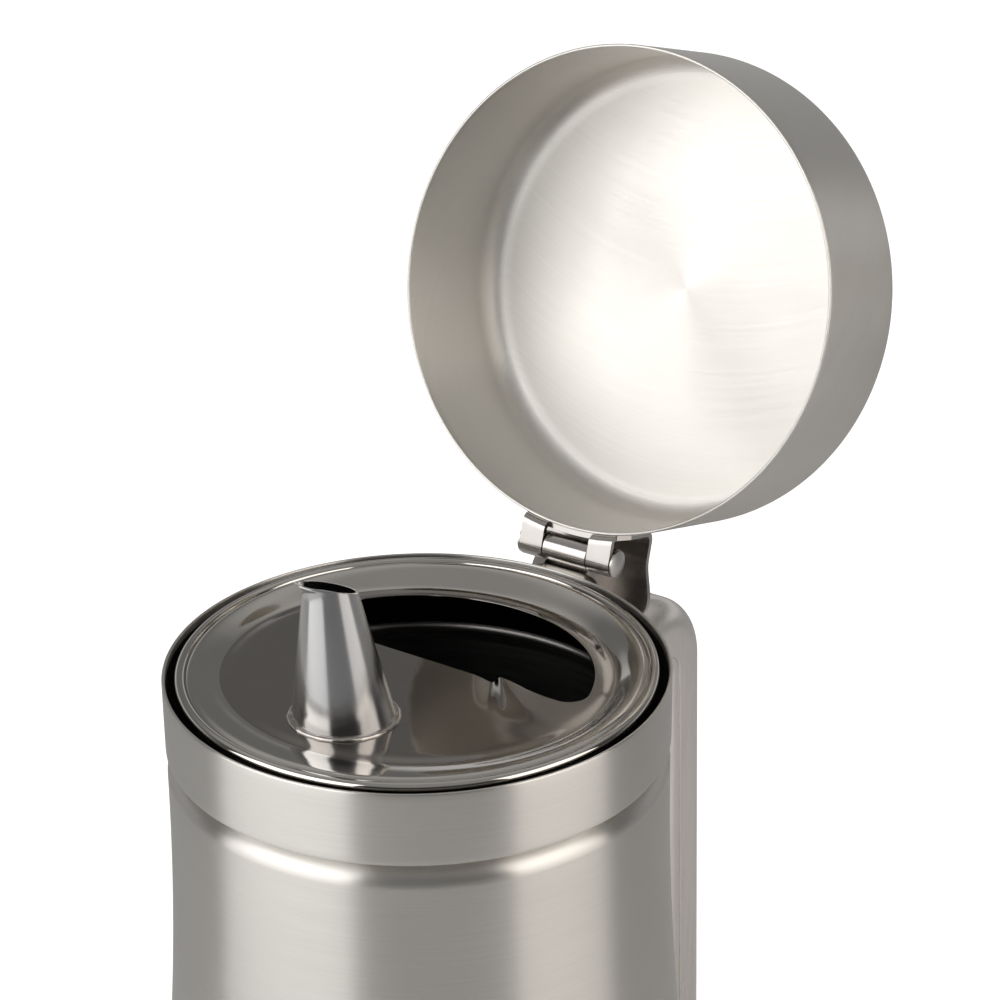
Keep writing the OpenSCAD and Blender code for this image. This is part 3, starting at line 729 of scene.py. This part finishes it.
def lid_leaf_sheet():
    """Lid leaf as one bent sheet: curled round the pin, flat under it, up the lid's side, round the bend and
    out to the lever. Two tongues reach the pin; between them the sheet ends just above the lid's rim."""
    t = LEAF_T
    hook_z, hook_r = AXIS_Z - KNUCKLE_R, HOOK_R + t
    hx, bx = LID_R + hook_r, LID_R + LEVER_BEND_R + t
    bz = LEVER_Z - LEVER_BEND_R - t
    slant = np.linspace(STRIP_Z, STRIP_Z + SLANT_H, 7)
    grids = []
    for side in (0, 1):
        d = side * t
        low = np.concatenate([curl(LID_CURL, -90, PIN_R + PIN_CLEAR, side),
                              line((AXIS_X, hook_z + d), (hx, hook_z + d), 6),
                              arc(hx, hook_z + hook_r, hook_r - d, 270, 180, 8)])
        low_rows = len(low)
        prof = np.concatenate([low, [[LID_R + d, z] for z in slant],
                               line((LID_R + d, slant[-1]), (LID_R + d, bz), 8),
                               arc(bx, bz, LEVER_BEND_R + t - d, 180, 90, 10)])
        p, z = prof[:, :1], prof[:, 1:]
        row = np.arange(len(prof))[:, None]
        rise = np.clip((z - STRIP_Z) / SLANT_H, TONGUE_SPREAD, 1)
        half = END_OUT + (LEVER_ROOT_HALF - END_OUT) * np.where(row < low_rows, TONGUE_SPREAD, rise)
        share = smooth((AXIS_X - p) / (AXIS_X - hx)) * (row >= CURL_STEPS)
        k = np.linspace(0, 1, TONGUE_COLS + 1)[1:]
        side_y = np.concatenate([END_IN * k, END_IN + (END_OUT - END_IN) * k])
        outer = np.sin(np.linspace(0, np.pi / 2, 11)[1:])

        def across(h):
            y = np.concatenate([np.tile(side_y, (len(h), 1)), END_OUT + (h - END_OUT) * outer], 1)
            return np.concatenate([-y[:, ::-1], np.zeros((len(h), 1)), y], 1)

        y = across(half)
        bend = np.stack([around_pot(p, y, share), y, z + 0 * y], -1)
        s = np.linspace(0, 1, 41)[1:, None]
        y_end = across(np.array([[LEVER_HALF]]))
        over = np.maximum(np.abs(y_end) - (LEVER_HALF - LEVER_CORNER_R), 0)
        x_end = LEVER_TIP_X - (LEVER_CORNER_R - np.sqrt(np.maximum(LEVER_CORNER_R ** 2 - over ** 2, 0)))
        x0 = bend[-1:, :, 0]
        x = x0 + (x_end - x0) * s
        share_x = (x - COLLAR_R) / (LEVER_TIP_X - COLLAR_R)
        base = across(lever_half(share_x[:, x.shape[1] // 2][:, None]))
        wide = lever_half(share_x)
        past = np.clip((np.abs(base) - END_OUT) / (np.abs(base[:, -1:]) - END_OUT), 0, 1)
        flared = np.sign(base) * (END_OUT + (wide - END_OUT) * past)
        y = np.where(np.abs(base) <= END_OUT + 1e-9, base, flared)
        grids.append(lid_open(np.concatenate([bend, np.stack([x, y, np.full_like(x, LEVER_Z - d)], -1)])))
    nu, nv = grids[0].shape[:2]
    mid = np.abs(np.arange(nv - 1) + 0.5 - (nv - 1) / 2)
    keep = np.ones((nu - 1, nv - 1), bool)
    keep[:low_rows] = (mid > TONGUE_COLS) & (mid < 2 * TONGUE_COLS)
    return thick_sheet(grids[0], grids[1], keep)


pts, faces, uv = lid_leaf_sheet()
faces = outward(pts - pts.mean(0), faces)
write_piece("lid_leaf_and_lever", pts, faces, uv, "lid", ["lid_leaf"], hinge_steel, bevel=EDGE_BEVEL)


# Pour plate

FOLD_L = NOTCH_L + 2
FOLD_POWER = 1.2
FOLD_OUT = 8
FOLD_FADE = 6
VALLEY_DEPTH = 0.55
VALLEY_SLANT = 0.55
VALLEY_WIDTHS = (2.4, 1.2)
RIDGE_H = 1.3
RIDGE_SHIFT = 2.3
RIDGE_SLANT = 0.8
RIDGE_WIDTHS = (1.15, 6)
OPENING_MID_X = 20.0
BEAD_END = 156
CREST_START = 47
CREST_R = 1.72 * BEAD_R
FLANGE_STEPS = 12
FLANGE_EASE = 0.65
GUTTER_DEPTH = 0.32
GUTTER_W = 2.0
GUTTER_FADE = 4
LIP_ROUND = 0.12
BORE_R = SPOUT_BASE_R - SPOUT_T - 0.1
SKIRT_Z = RIM_H - COLLAR_H + SHEET + 0.05
BEAD_X = PLATE_R - BEAD_R
BEAD_Z = RIM_H + BEAD_RISE - BEAD_R
CREASE_X = BEAD_X + BEAD_R * math.cos(math.radians(BEAD_END))
CREASE_Z = BEAD_Z + BEAD_R * math.sin(math.radians(BEAD_END))
CREST_X = CREASE_X - CREST_R * math.cos(math.radians(CREST_START))
CREST_Z = CREASE_Z - CREST_R * math.sin(math.radians(CREST_START))
FLANGE_FOOT_R = CREST_X - FLANGE_W
BORE_SIDES = (((1, 0), (1, 1), (1, 0)), ((-1, 0), (0, 0), (0, 1)),
              ((0, 1), (0, 1), (1, 1)), ((0, -1), (1, 0), (0, 0)))


def bell(t, widths):
    """Bell curve, 1 at t = 0, that falls off over the first width where t > 0 and the second elsewhere."""
    return np.exp(-np.where(t > 0, (t / widths[0]) ** 2, (t / widths[1]) ** 2))


def floor_height(x, y):
    """Height of the plate's floor: a plane that falls towards the handle, with the drain fold in it. The fold
    is a valley with a ridge beside it. Both start at the opening's straight edge, run off aslant from it,
    the ridge more so, and fade out a little beyond the notch's length."""
    base = FLOOR_Z - x * math.tan(FLOOR_TILT)
    fade = smooth((x - CHORD_X + FOLD_L) / FOLD_L) ** FOLD_POWER
    fade = fade * smooth((CHORD_X + FOLD_OUT - x) / FOLD_FADE)
    inland = np.maximum(CHORD_X - x, 0)
    valley = -VALLEY_DEPTH * bell(y - NOTCH_Y + VALLEY_SLANT * inland, VALLEY_WIDTHS)
    ridge = RIDGE_H * bell(y - NOTCH_Y + RIDGE_SHIFT + RIDGE_SLANT * inland, RIDGE_WIDTHS)
    return base + (valley + ridge) * fade


def opening_point(px, py):
    """Where the straight line from the opening's middle towards (px, py) leaves the D: the nearest of the
    arc, the straight edge and the two corner circles, found by halving."""
    cx = CHORD_X + OPENING_CORNER_R
    cy = math.sqrt((OPENING_R - OPENING_CORNER_R) ** 2 - cx * cx)
    dx, dy = px - OPENING_MID_X, py
    near, far = np.zeros_like(dx), np.ones_like(dx)

    def inside(x, y):
        ay = np.abs(y)
        in_d = (np.hypot(x, y) < OPENING_R) & (x > CHORD_X)
        corner = (x * cy - ay * cx < 0) & (ay > cy) | (x < cx) & (ay > cy)
        return in_d & (~corner | (np.hypot(x - cx, ay - cy) < OPENING_CORNER_R))

    for _ in range(HALVINGS):
        mid = (near + far) / 2
        ok = inside(OPENING_MID_X + dx * mid, dy * mid)
        near, far = np.where(ok, mid, near), np.where(ok, far, mid)
    return OPENING_MID_X + dx * near, dy * near


def plate_rim(d):
    """The plate's section from the skirt's foot over the bead and the crease to the crest, moved inwards
    by d. There the sharp corner of the crease becomes an arc."""
    first = -math.degrees(math.acos((SKIRT_R - d - BEAD_X) / (BEAD_R - d)))
    foot = [[SKIRT_R - d, SKIRT_Z]]
    skirt = line((SKIRT_R - d, SKIRT_Z), (SKIRT_R - d, BEAD_Z - BEAD_R), 6)
    bead = arc(BEAD_X, BEAD_Z, BEAD_R - d, first, BEAD_END, 20)
    crest = arc(CREST_X, CREST_Z, CREST_R - d, CREST_START, 90, 8)
    if not d:
        return np.concatenate([foot, skirt, bead[:-1], crest])
    crease = arc(CREASE_X, CREASE_Z, d, BEAD_END - 180, CREST_START - 180, 7)[1:-1]
    return np.concatenate([foot, skirt, bead, crease, crest])


def gutter(x, y):
    """Depth of the shallow groove that runs round the flange's foot."""
    return GUTTER_DEPTH * np.exp(-((np.hypot(x, y) - FLANGE_FOOT_R) / GUTTER_W) ** 2)


def plate_skin(d, a, rows):
    """Rows of points at the angles a, moved inwards by d: the rim's section carried round the axis, the
    flange, and the floor as straight lines from the flange's foot to the D opening."""
    ca, sa = np.cos(a), np.sin(a)
    ex, ey = FLANGE_FOOT_R * ca * math.cos(FLOOR_TILT), FLANGE_FOOT_R * sa
    ez = FLOOR_Z - FLANGE_FOOT_R * ca * math.sin(FLOOR_TILT)
    in_x, in_y = opening_point(ex, ey)
    prof = plate_rim(d)
    rim = np.stack([prof[:, :1] * ca, prof[:, :1] * sa, np.repeat(prof[:, 1:], len(a), 1)], -1)
    t = np.linspace(0, 1, FLANGE_STEPS + 1)[1:, None]
    ease = (1 - FLANGE_EASE) * t + FLANGE_EASE * smooth(t)
    x = CREST_X * ca * (1 - t) + ex * t
    y = CREST_X * sa * (1 - t) + ey * t
    z = (CREST_Z + CREST_R) * (1 - ease) + ez * ease - d - gutter(x, y) * smooth(GUTTER_FADE * t)
    flange = np.stack([x, y, z], -1)
    t = np.linspace(0, 1, rows)[1:, None]
    x = ex + (in_x - ex) * t
    y = ey + (in_y - ey) * t
    z = floor_height(x, y) - gutter(x, y) * smooth(GUTTER_FADE * (1 - t)) - d
    return rim, flange, np.stack([x, y, z], -1)


def cut_bore(grid, first, lip_row):
    """Leaves the spout's bore out of the plate's floor, whose upper rows run from first to lip_row and whose
    row 2 lip_row - r lies under row r. The cells inside go, the points on the border move onto the circle,
    and walls join the two borders. BORE_SIDES gives each wall's step to the next cell and its two corners."""
    m, n = grid.shape[:2]
    faces = grid_faces(m, n, wrap_u=True, wrap_v=True)
    row, col = faces[:, 0] // n, faces[:, 0] % n
    mid = grid.reshape(-1, 3)[faces].mean(1)
    in_bore = np.hypot(mid[:, 0] + SPOUT_X, mid[:, 1]) < BORE_R
    gone = in_bore & (row >= first - 1) & (row < lip_row - 1)
    hole = np.zeros((m, n), bool)
    hole[row[gone], col[gone]] = True
    near = [np.roll(hole, (di, dj), (0, 1)) for di in (0, 1) for dj in (0, 1)]
    i, j = np.nonzero(np.any(near, 0) & ~np.all(near, 0))
    v = grid[i, j, :2] + [SPOUT_X, 0]
    v = v / np.linalg.norm(v, axis=1, keepdims=True) * BORE_R - [SPOUT_X, 0]
    z = floor_height(v[:, 0], v[:, 1])
    grid[i, j] = np.column_stack([v, z])
    grid[2 * lip_row - i, j] = np.column_stack([v, z - PLATE_T])
    below = np.zeros((m, n), bool)
    i, j = np.nonzero(hole)
    below[2 * lip_row - i - 1, j] = True
    walls = []
    for (di, dj), p, q in BORE_SIDES:
        i, j = np.nonzero(hole & ~np.roll(hole, (-di, -dj), (0, 1)))
        pi, pj, qi, qj = i + p[0], (j + p[1]) % n, i + q[0], (j + q[1]) % n
        under_p, under_q = 2 * lip_row - pi, 2 * lip_row - qi
        walls.append(np.stack([pi * n + pj, qi * n + qj, under_q * n + qj, under_p * n + pj], 1))
    return grid.reshape(-1, 3), np.concatenate([faces[~(hole | below)[row, col]], *walls])


def plate_mesh(n=480, rows=50):
    """The whole plate as one closed skin: the upper rows, a small ridge for the lip round the opening, and
    the lower rows backwards, with the spout's bore cut out."""
    a = 2 * np.pi * np.arange(n) / n
    rim_a, flange_a, floor_a = plate_skin(0.0, a, rows)
    rim_b, flange_b, floor_b = plate_skin(PLATE_T, a, rows)
    lip = (floor_a[-1:] + floor_b[-1:]) / 2
    inwards = np.stack([OPENING_MID_X - lip[..., 0], -lip[..., 1], 0 * lip[..., 0]], -1)
    lip = lip + inwards / np.linalg.norm(inwards, axis=-1, keepdims=True) * LIP_ROUND
    grid = np.concatenate([rim_a, flange_a, floor_a, lip, floor_b[::-1], flange_b[::-1], rim_b[::-1]])
    along = np.concatenate([[0], np.cumsum(np.linalg.norm(np.diff(grid[:, 0], axis=0), axis=1))])
    uv = np.stack([np.tile(a / (2 * np.pi), len(grid)), np.repeat(along / UV_UNIT, n)], 1)
    first = len(rim_a) + len(flange_a)
    pts, faces = cut_bore(grid, first, first + rows - 1)
    used, faces = np.unique(faces, return_inverse=True)
    return pts[used], faces.reshape(-1, 4), uv[used]


pts, faces, uv = plate_mesh()
faces = outward(pts, faces)
plate = write_piece("pour_plate_pressed", pts, faces, uv, "pourer", ["pour_plate"], plate_floor_shaded_steel, sharp=50)
centres = face_centres(plate)
# Rim, bead and flange take the lighter steel; the floor keeps the darker one, painted shade.
second_finish(plate, flange_steel, np.hypot(centres[:, 0], centres[:, 1]) > FLANGE_FOOT_R)


# Spout

BEAK_TURN = 140
BEAK_ENDS = (80, 45)
BEAK_FADES = (75, 40)
BEAK_POWER = 1.3
BEAK_REACH = 1.7
BEAK_H = 3.0
BEAK_CURVE = 1.8
BEAK_FLATNESS = 0.8
ROLL_REACH = 0.7
ROLL_BELOW = 0.45
ROLL_WIDTH = 0.4
ROW_CROWDING = 1.6
RIM_ROUND = 0.12
SPOUT_UV = 0.6
WELD_UV = 10
WELD_R = 0.66
WELD_OUT = 0.25
WELD_UP = 0.05
WELD_FLATNESS = 0.9
WELD_WAVES = ((5, 0.14, 1), (11, 0.10, 2.1), (23, 0.05, 0))


def spout_mesh(n=160, rows=44):
    """Leaning cone between the floor and the sloping cut. Near the top a beak swells outwards and lies down
    towards the cut's plane: its reach is a window of the angle times a power of the nearness to the cut, and
    its outer edge is thickened by a small bell curve of the distance below the cut. Returns the outer line
    at the foot too."""
    a = 2 * np.pi * np.arange(n) / n
    axis = np.array([-math.sin(SPOUT_LEAN), 0, math.cos(SPOUT_LEAN)])
    e1 = np.array([math.cos(SPOUT_LEAN), 0, math.sin(SPOUT_LEAN)])
    foot = np.array([-SPOUT_X, 0, FLOOR_Z + SPOUT_X * math.tan(FLOOR_TILT)])
    top = foot + axis * SPOUT_L
    taper = (SPOUT_BASE_R - SPOUT_TOP_R) / SPOUT_L
    e = np.cos(a)[:, None] * e1 + np.sin(a)[:, None] * [0, 1.0, 0]

    def meets(normal, point, r0):
        """The s at which foot + axis s + e (r0 - taper s) lies on the plane, for each direction e."""
        return ((point - foot) @ normal - r0 * (e @ normal)) / (axis @ normal - taper * (e @ normal))

    floor_n = np.array([math.sin(FLOOR_TILT), 0, math.cos(FLOOR_TILT)])
    cut_n = np.array([CUT_SLOPE, 0, 1.0]) / math.hypot(CUT_SLOPE, 1)
    turn = np.degrees(a) - BEAK_TURN
    window = smooth((BEAK_ENDS[0] - turn) / BEAK_FADES[0]) ** BEAK_POWER * smooth(
        (turn + BEAK_ENDS[1]) / BEAK_FADES[1])

    def skin(d):
        s0, s1 = meets(floor_n, foot, SPOUT_BASE_R - d), meets(cut_n, top, SPOUT_BASE_R - d)
        t = 1 - (1 - np.linspace(0, 1, rows)) ** ROW_CROWDING
        s = s0[None, :] + (s1 - s0)[None, :] * t[:, None]
        below = s1[None, :] - s
        swell = window[None, :] * np.clip(1 - below / BEAK_H, 0, 1) ** BEAK_CURVE
        roll = ROLL_REACH * window[None, :] * np.exp(-((below - ROLL_BELOW) / ROLL_WIDTH) ** 2) * (d == 0)
        r = SPOUT_BASE_R - d - taper * s + BEAK_REACH * swell + roll
        p = foot + axis * s[..., None] + e[None] * r[..., None]
        over = (p - top) @ cut_n
        return p - cut_n * (over * BEAK_FLATNESS * swell)[..., None]

    outer, inner = skin(0.0), skin(SPOUT_T)
    rim = (outer[-1:] + inner[-1:]) / 2 + cut_n * RIM_ROUND
    stack = np.concatenate([outer, rim, inner[::-1]])
    m = len(stack)
    uv = np.stack([np.tile(a / (2 * np.pi), m), np.repeat(np.linspace(0, SPOUT_UV, m), n)], 1)
    return stack.reshape(-1, 3), grid_faces(m, n, wrap_u=True, wrap_v=True), uv, outer[0]


def weld_bead(circle, n_sec=14):
    """Bead round the spout's foot. Its thickness wanders by a sum of sines of the angle."""
    n = len(circle)
    a = 2 * np.pi * np.arange(n) / n
    r = WELD_R * (1 + sum(size * np.sin(count * a + phase) for count, size, phase in WELD_WAVES))
    out = circle - circle.mean(0)
    out = out / np.linalg.norm(out, axis=1, keepdims=True)
    up = np.array([math.sin(FLOOR_TILT), 0, math.cos(FLOOR_TILT)])
    b = 2 * np.pi * np.arange(n_sec) / n_sec
    mid = circle + out * WELD_OUT + up * WELD_UP
    sideways = np.cos(b)[:, None, None] * r[None, :, None]
    upwards = np.sin(b)[:, None, None] * r[None, :, None] * WELD_FLATNESS
    p = mid[None] + out[None] * sideways + up * upwards
    uv = np.stack([np.tile(a / (2 * np.pi), n_sec), np.repeat(b / WELD_UV, n)], 1)
    return p.reshape(-1, 3), grid_faces(n_sec, n, wrap_u=True, wrap_v=True), uv


pts, faces, uv, foot_circle = spout_mesh()
write_piece("spout_tube", pts, outward(pts, faces), uv, "pourer", ["spout"], spout_steel, sharp=60)
pts, faces, uv = weld_bead(foot_circle)
bead = write_piece("spout_weld", pts, outward(pts - pts.mean(0), faces), uv, "pourer", None, weld_steel)


# Camera, floor and light

FOCAL_SHARE = 2.7856
SENSOR = 36
CAM_TURN = 53.8
CAM_AWAY = 506.99
CAM_UP = 270.95
CAM_ANGLES = (0.0341, 0.4326, -0.0086)
CAM_CLIP = (0.01, 20)
CLIMB = (0.15, 0.5)


def camera():
    """Camera solved from the rim, lid and hinge circles: away from the rim's middle and up from it, turned
    by yaw, pitch and roll in radians, and by CAM_TURN in degrees into the part's frame. FOCAL_SHARE is the
    focal length over the picture's width. Returns the camera's place."""
    yaw, pitch, roll = CAM_ANGLES
    fwd = np.array([math.sin(yaw) * math.cos(pitch), math.cos(yaw) * math.cos(pitch), -math.sin(pitch)])
    right = np.array([math.cos(yaw), -math.sin(yaw), 0.0])
    up = np.cross(right, fwd)
    r2 = math.cos(roll) * right + math.sin(roll) * up
    u2 = -math.sin(roll) * right + math.cos(roll) * up
    a = math.radians(CAM_TURN)
    to_part = np.array([[math.cos(a), math.sin(a), 0], [-math.sin(a), math.cos(a), 0], [0, 0, 1]])
    place = to_part @ np.array([0, -CAM_AWAY, CAM_UP]) + [0, 0, RIM_H]
    cols = [to_part @ r2, to_part @ u2, to_part @ -fwd]
    cam = bpy.data.cameras.new("photo_camera")
    cam.sensor_width = SENSOR
    cam.lens = FOCAL_SHARE * SENSOR
    cam.clip_start, cam.clip_end = CAM_CLIP
    obj = bpy.data.objects.new("photo_camera", cam)
    bpy.context.scene.collection.objects.link(obj)
    m = Matrix.Identity(4)
    for k in range(3):
        for j in range(3):
            m[k][j] = cols[j][k]
        m[k][3] = place[k] * MM
    obj.matrix_world = m
    bpy.context.scene.camera = obj
    return place


CAM_PLACE = camera()
TOWARDS = np.array([CAM_PLACE[0], CAM_PLACE[1], 0]) / math.hypot(CAM_PLACE[0], CAM_PLACE[1])
RIGHT = np.array([-TOWARDS[1], TOWARDS[0], 0])


def softbox(name, turn, distance, width, low, high, dim, bright, color=(1, 1, 1)):
    """An upright soft lamp that stands turn degrees to the right of the camera and faces the pot's axis. Its
    radiance climbs smoothly from dim near its foot to bright at half its height. The energy is such that
    the strength is the radiance."""
    lamp = bpy.data.lights.new(name, "AREA")
    lamp.shape = "RECTANGLE"
    lamp.size, lamp.size_y = width * MM, (high - low) * MM
    lamp.energy = math.pi * lamp.size * lamp.size_y
    lamp.color = color
    lamp.use_nodes = True
    tree = lamp.node_tree
    n = tree.nodes
    n.clear()
    out = n.new("ShaderNodeOutputLight")
    glow = n.new("ShaderNodeEmission")
    where = n.new("ShaderNodeNewGeometry")
    sep = n.new("ShaderNodeSeparateXYZ")
    feed(tree, sep.inputs[0], where.outputs["Parametric"])
    feed(tree, glow.inputs["Strength"], spread(tree, sep.outputs["Y"], CLIMB, (dim, bright), "SMOOTHSTEP"))
    feed(tree, out.inputs[0], glow.outputs[0])
    obj = bpy.data.objects.new(name, lamp)
    obj.visible_camera = False
    bpy.context.scene.collection.objects.link(obj)
    t = math.radians(turn)
    away = (TOWARDS * math.cos(t) + RIGHT * math.sin(t)) * distance
    obj.location = (away + [0, 0, (low + high) / 2]) * MM
    obj.rotation_mode = "QUATERNION"
    obj.rotation_quaternion = Vector(away.tolist()).to_track_quat("Z", "Y")


softbox("left_box", turn=-58, distance=430, width=500, low=5, high=680, dim=1.0, bright=2.65)
softbox("right_box", turn=59, distance=430, width=345, low=5, high=680, dim=0.8, bright=2.2,
        color=(1.0, 0.96, 0.92))

FLOOR_HALF = 6.0
FLOOR_TONE = 0.8
FLOOR_LIFT = 0.72
LIFT_RING = (0.12, 0.5)


def floor():
    """A white floor that takes shadows. To the camera it also glows, by FLOOR_LIFT under the pot and by 1 at
    the outer end of LIFT_RING, in metres from the axis, so that it melts into the background."""
    me = bpy.data.meshes.new("floor")
    s = FLOOR_HALF
    me.from_pydata([(-s, -s, 0), (s, -s, 0), (s, s, 0), (-s, s, 0)], [], [(0, 1, 2, 3)])
    obj = bpy.data.objects.new("floor", me)
    bpy.context.scene.collection.objects.link(obj)
    m = bpy.data.materials.new("floor_white")
    m.use_nodes = True
    tree = m.node_tree
    n = tree.nodes
    n.clear()
    out = n.new("ShaderNodeOutputMaterial")
    d = n.new("ShaderNodeBsdfDiffuse")
    d.inputs["Color"].default_value = (FLOOR_TONE, FLOOR_TONE, FLOOR_TONE, 1)
    e = n.new("ShaderNodeEmission")
    e.inputs["Color"].default_value = (1, 1, 1, 1)
    path = n.new("ShaderNodeLightPath")
    coord = n.new("ShaderNodeTexCoord")
    away = n.new("ShaderNodeVectorMath")
    away.operation = "LENGTH"
    feed(tree, away.inputs[0], coord.outputs["Object"])
    ring = spread(tree, away.outputs["Value"], LIFT_RING, (FLOOR_LIFT, 1.0))
    feed(tree, e.inputs["Strength"], calc(tree, "MULTIPLY", path.outputs["Is Camera Ray"], ring))
    add = n.new("ShaderNodeAddShader")
    feed(tree, add.inputs[0], d.outputs[0])
    feed(tree, add.inputs[1], e.outputs[0])
    feed(tree, out.inputs[0], add.outputs[0])
    me.materials.append(m)


floor()

BACKDROP = 0.6
ROOM_LOW = 0.05
ROOM_BACK = 0.2
ROOM_HIGH = 0.3
BACKDROP_TOP = (0.1, 0.36)
SKY_START = (0.48, 0.8)
BEHIND = (0.0, 0.5)


def world():
    """White to the camera. For all other rays a dim room that brightens towards the zenith, with a pale
    backdrop low down behind the object. Heights and shares are those of the ray's direction."""
    w = bpy.data.worlds.new("studio")
    bpy.context.scene.world = w
    w.use_nodes = True
    tree = w.node_tree
    n = tree.nodes
    n.clear()
    out = n.new("ShaderNodeOutputWorld")
    bg = n.new("ShaderNodeBackground")
    path = n.new("ShaderNodeLightPath")
    coord = n.new("ShaderNodeTexCoord")
    sep = n.new("ShaderNodeSeparateXYZ")
    feed(tree, sep.inputs[0], coord.outputs["Generated"])
    behind = n.new("ShaderNodeVectorMath")
    behind.operation = "DOT_PRODUCT"
    behind.inputs[1].default_value = (-TOWARDS).tolist()
    feed(tree, behind.inputs[0], coord.outputs["Generated"])
    height = spread(tree, sep.outputs["Z"], BACKDROP_TOP, (BACKDROP, ROOM_BACK), "SMOOTHSTEP")
    back = spread(tree, behind.outputs["Value"], BEHIND, (ROOM_LOW, height), "SMOOTHSTEP")
    sky = spread(tree, sep.outputs["Z"], SKY_START, (0, ROOM_HIGH), "SMOOTHSTEP")
    room = calc(tree, "ADD", back, sky)
    seen = spread(tree, path.outputs["Is Camera Ray"], (0, 1), (room, 1.0), "SMOOTHSTEP")
    feed(tree, bg.inputs["Strength"], seen)
    bg.inputs["Color"].default_value = (1, 1, 1, 1)
    feed(tree, out.inputs[0], bg.outputs[0])


world()
bpy.context.scene.view_settings.view_transform = "Standard"
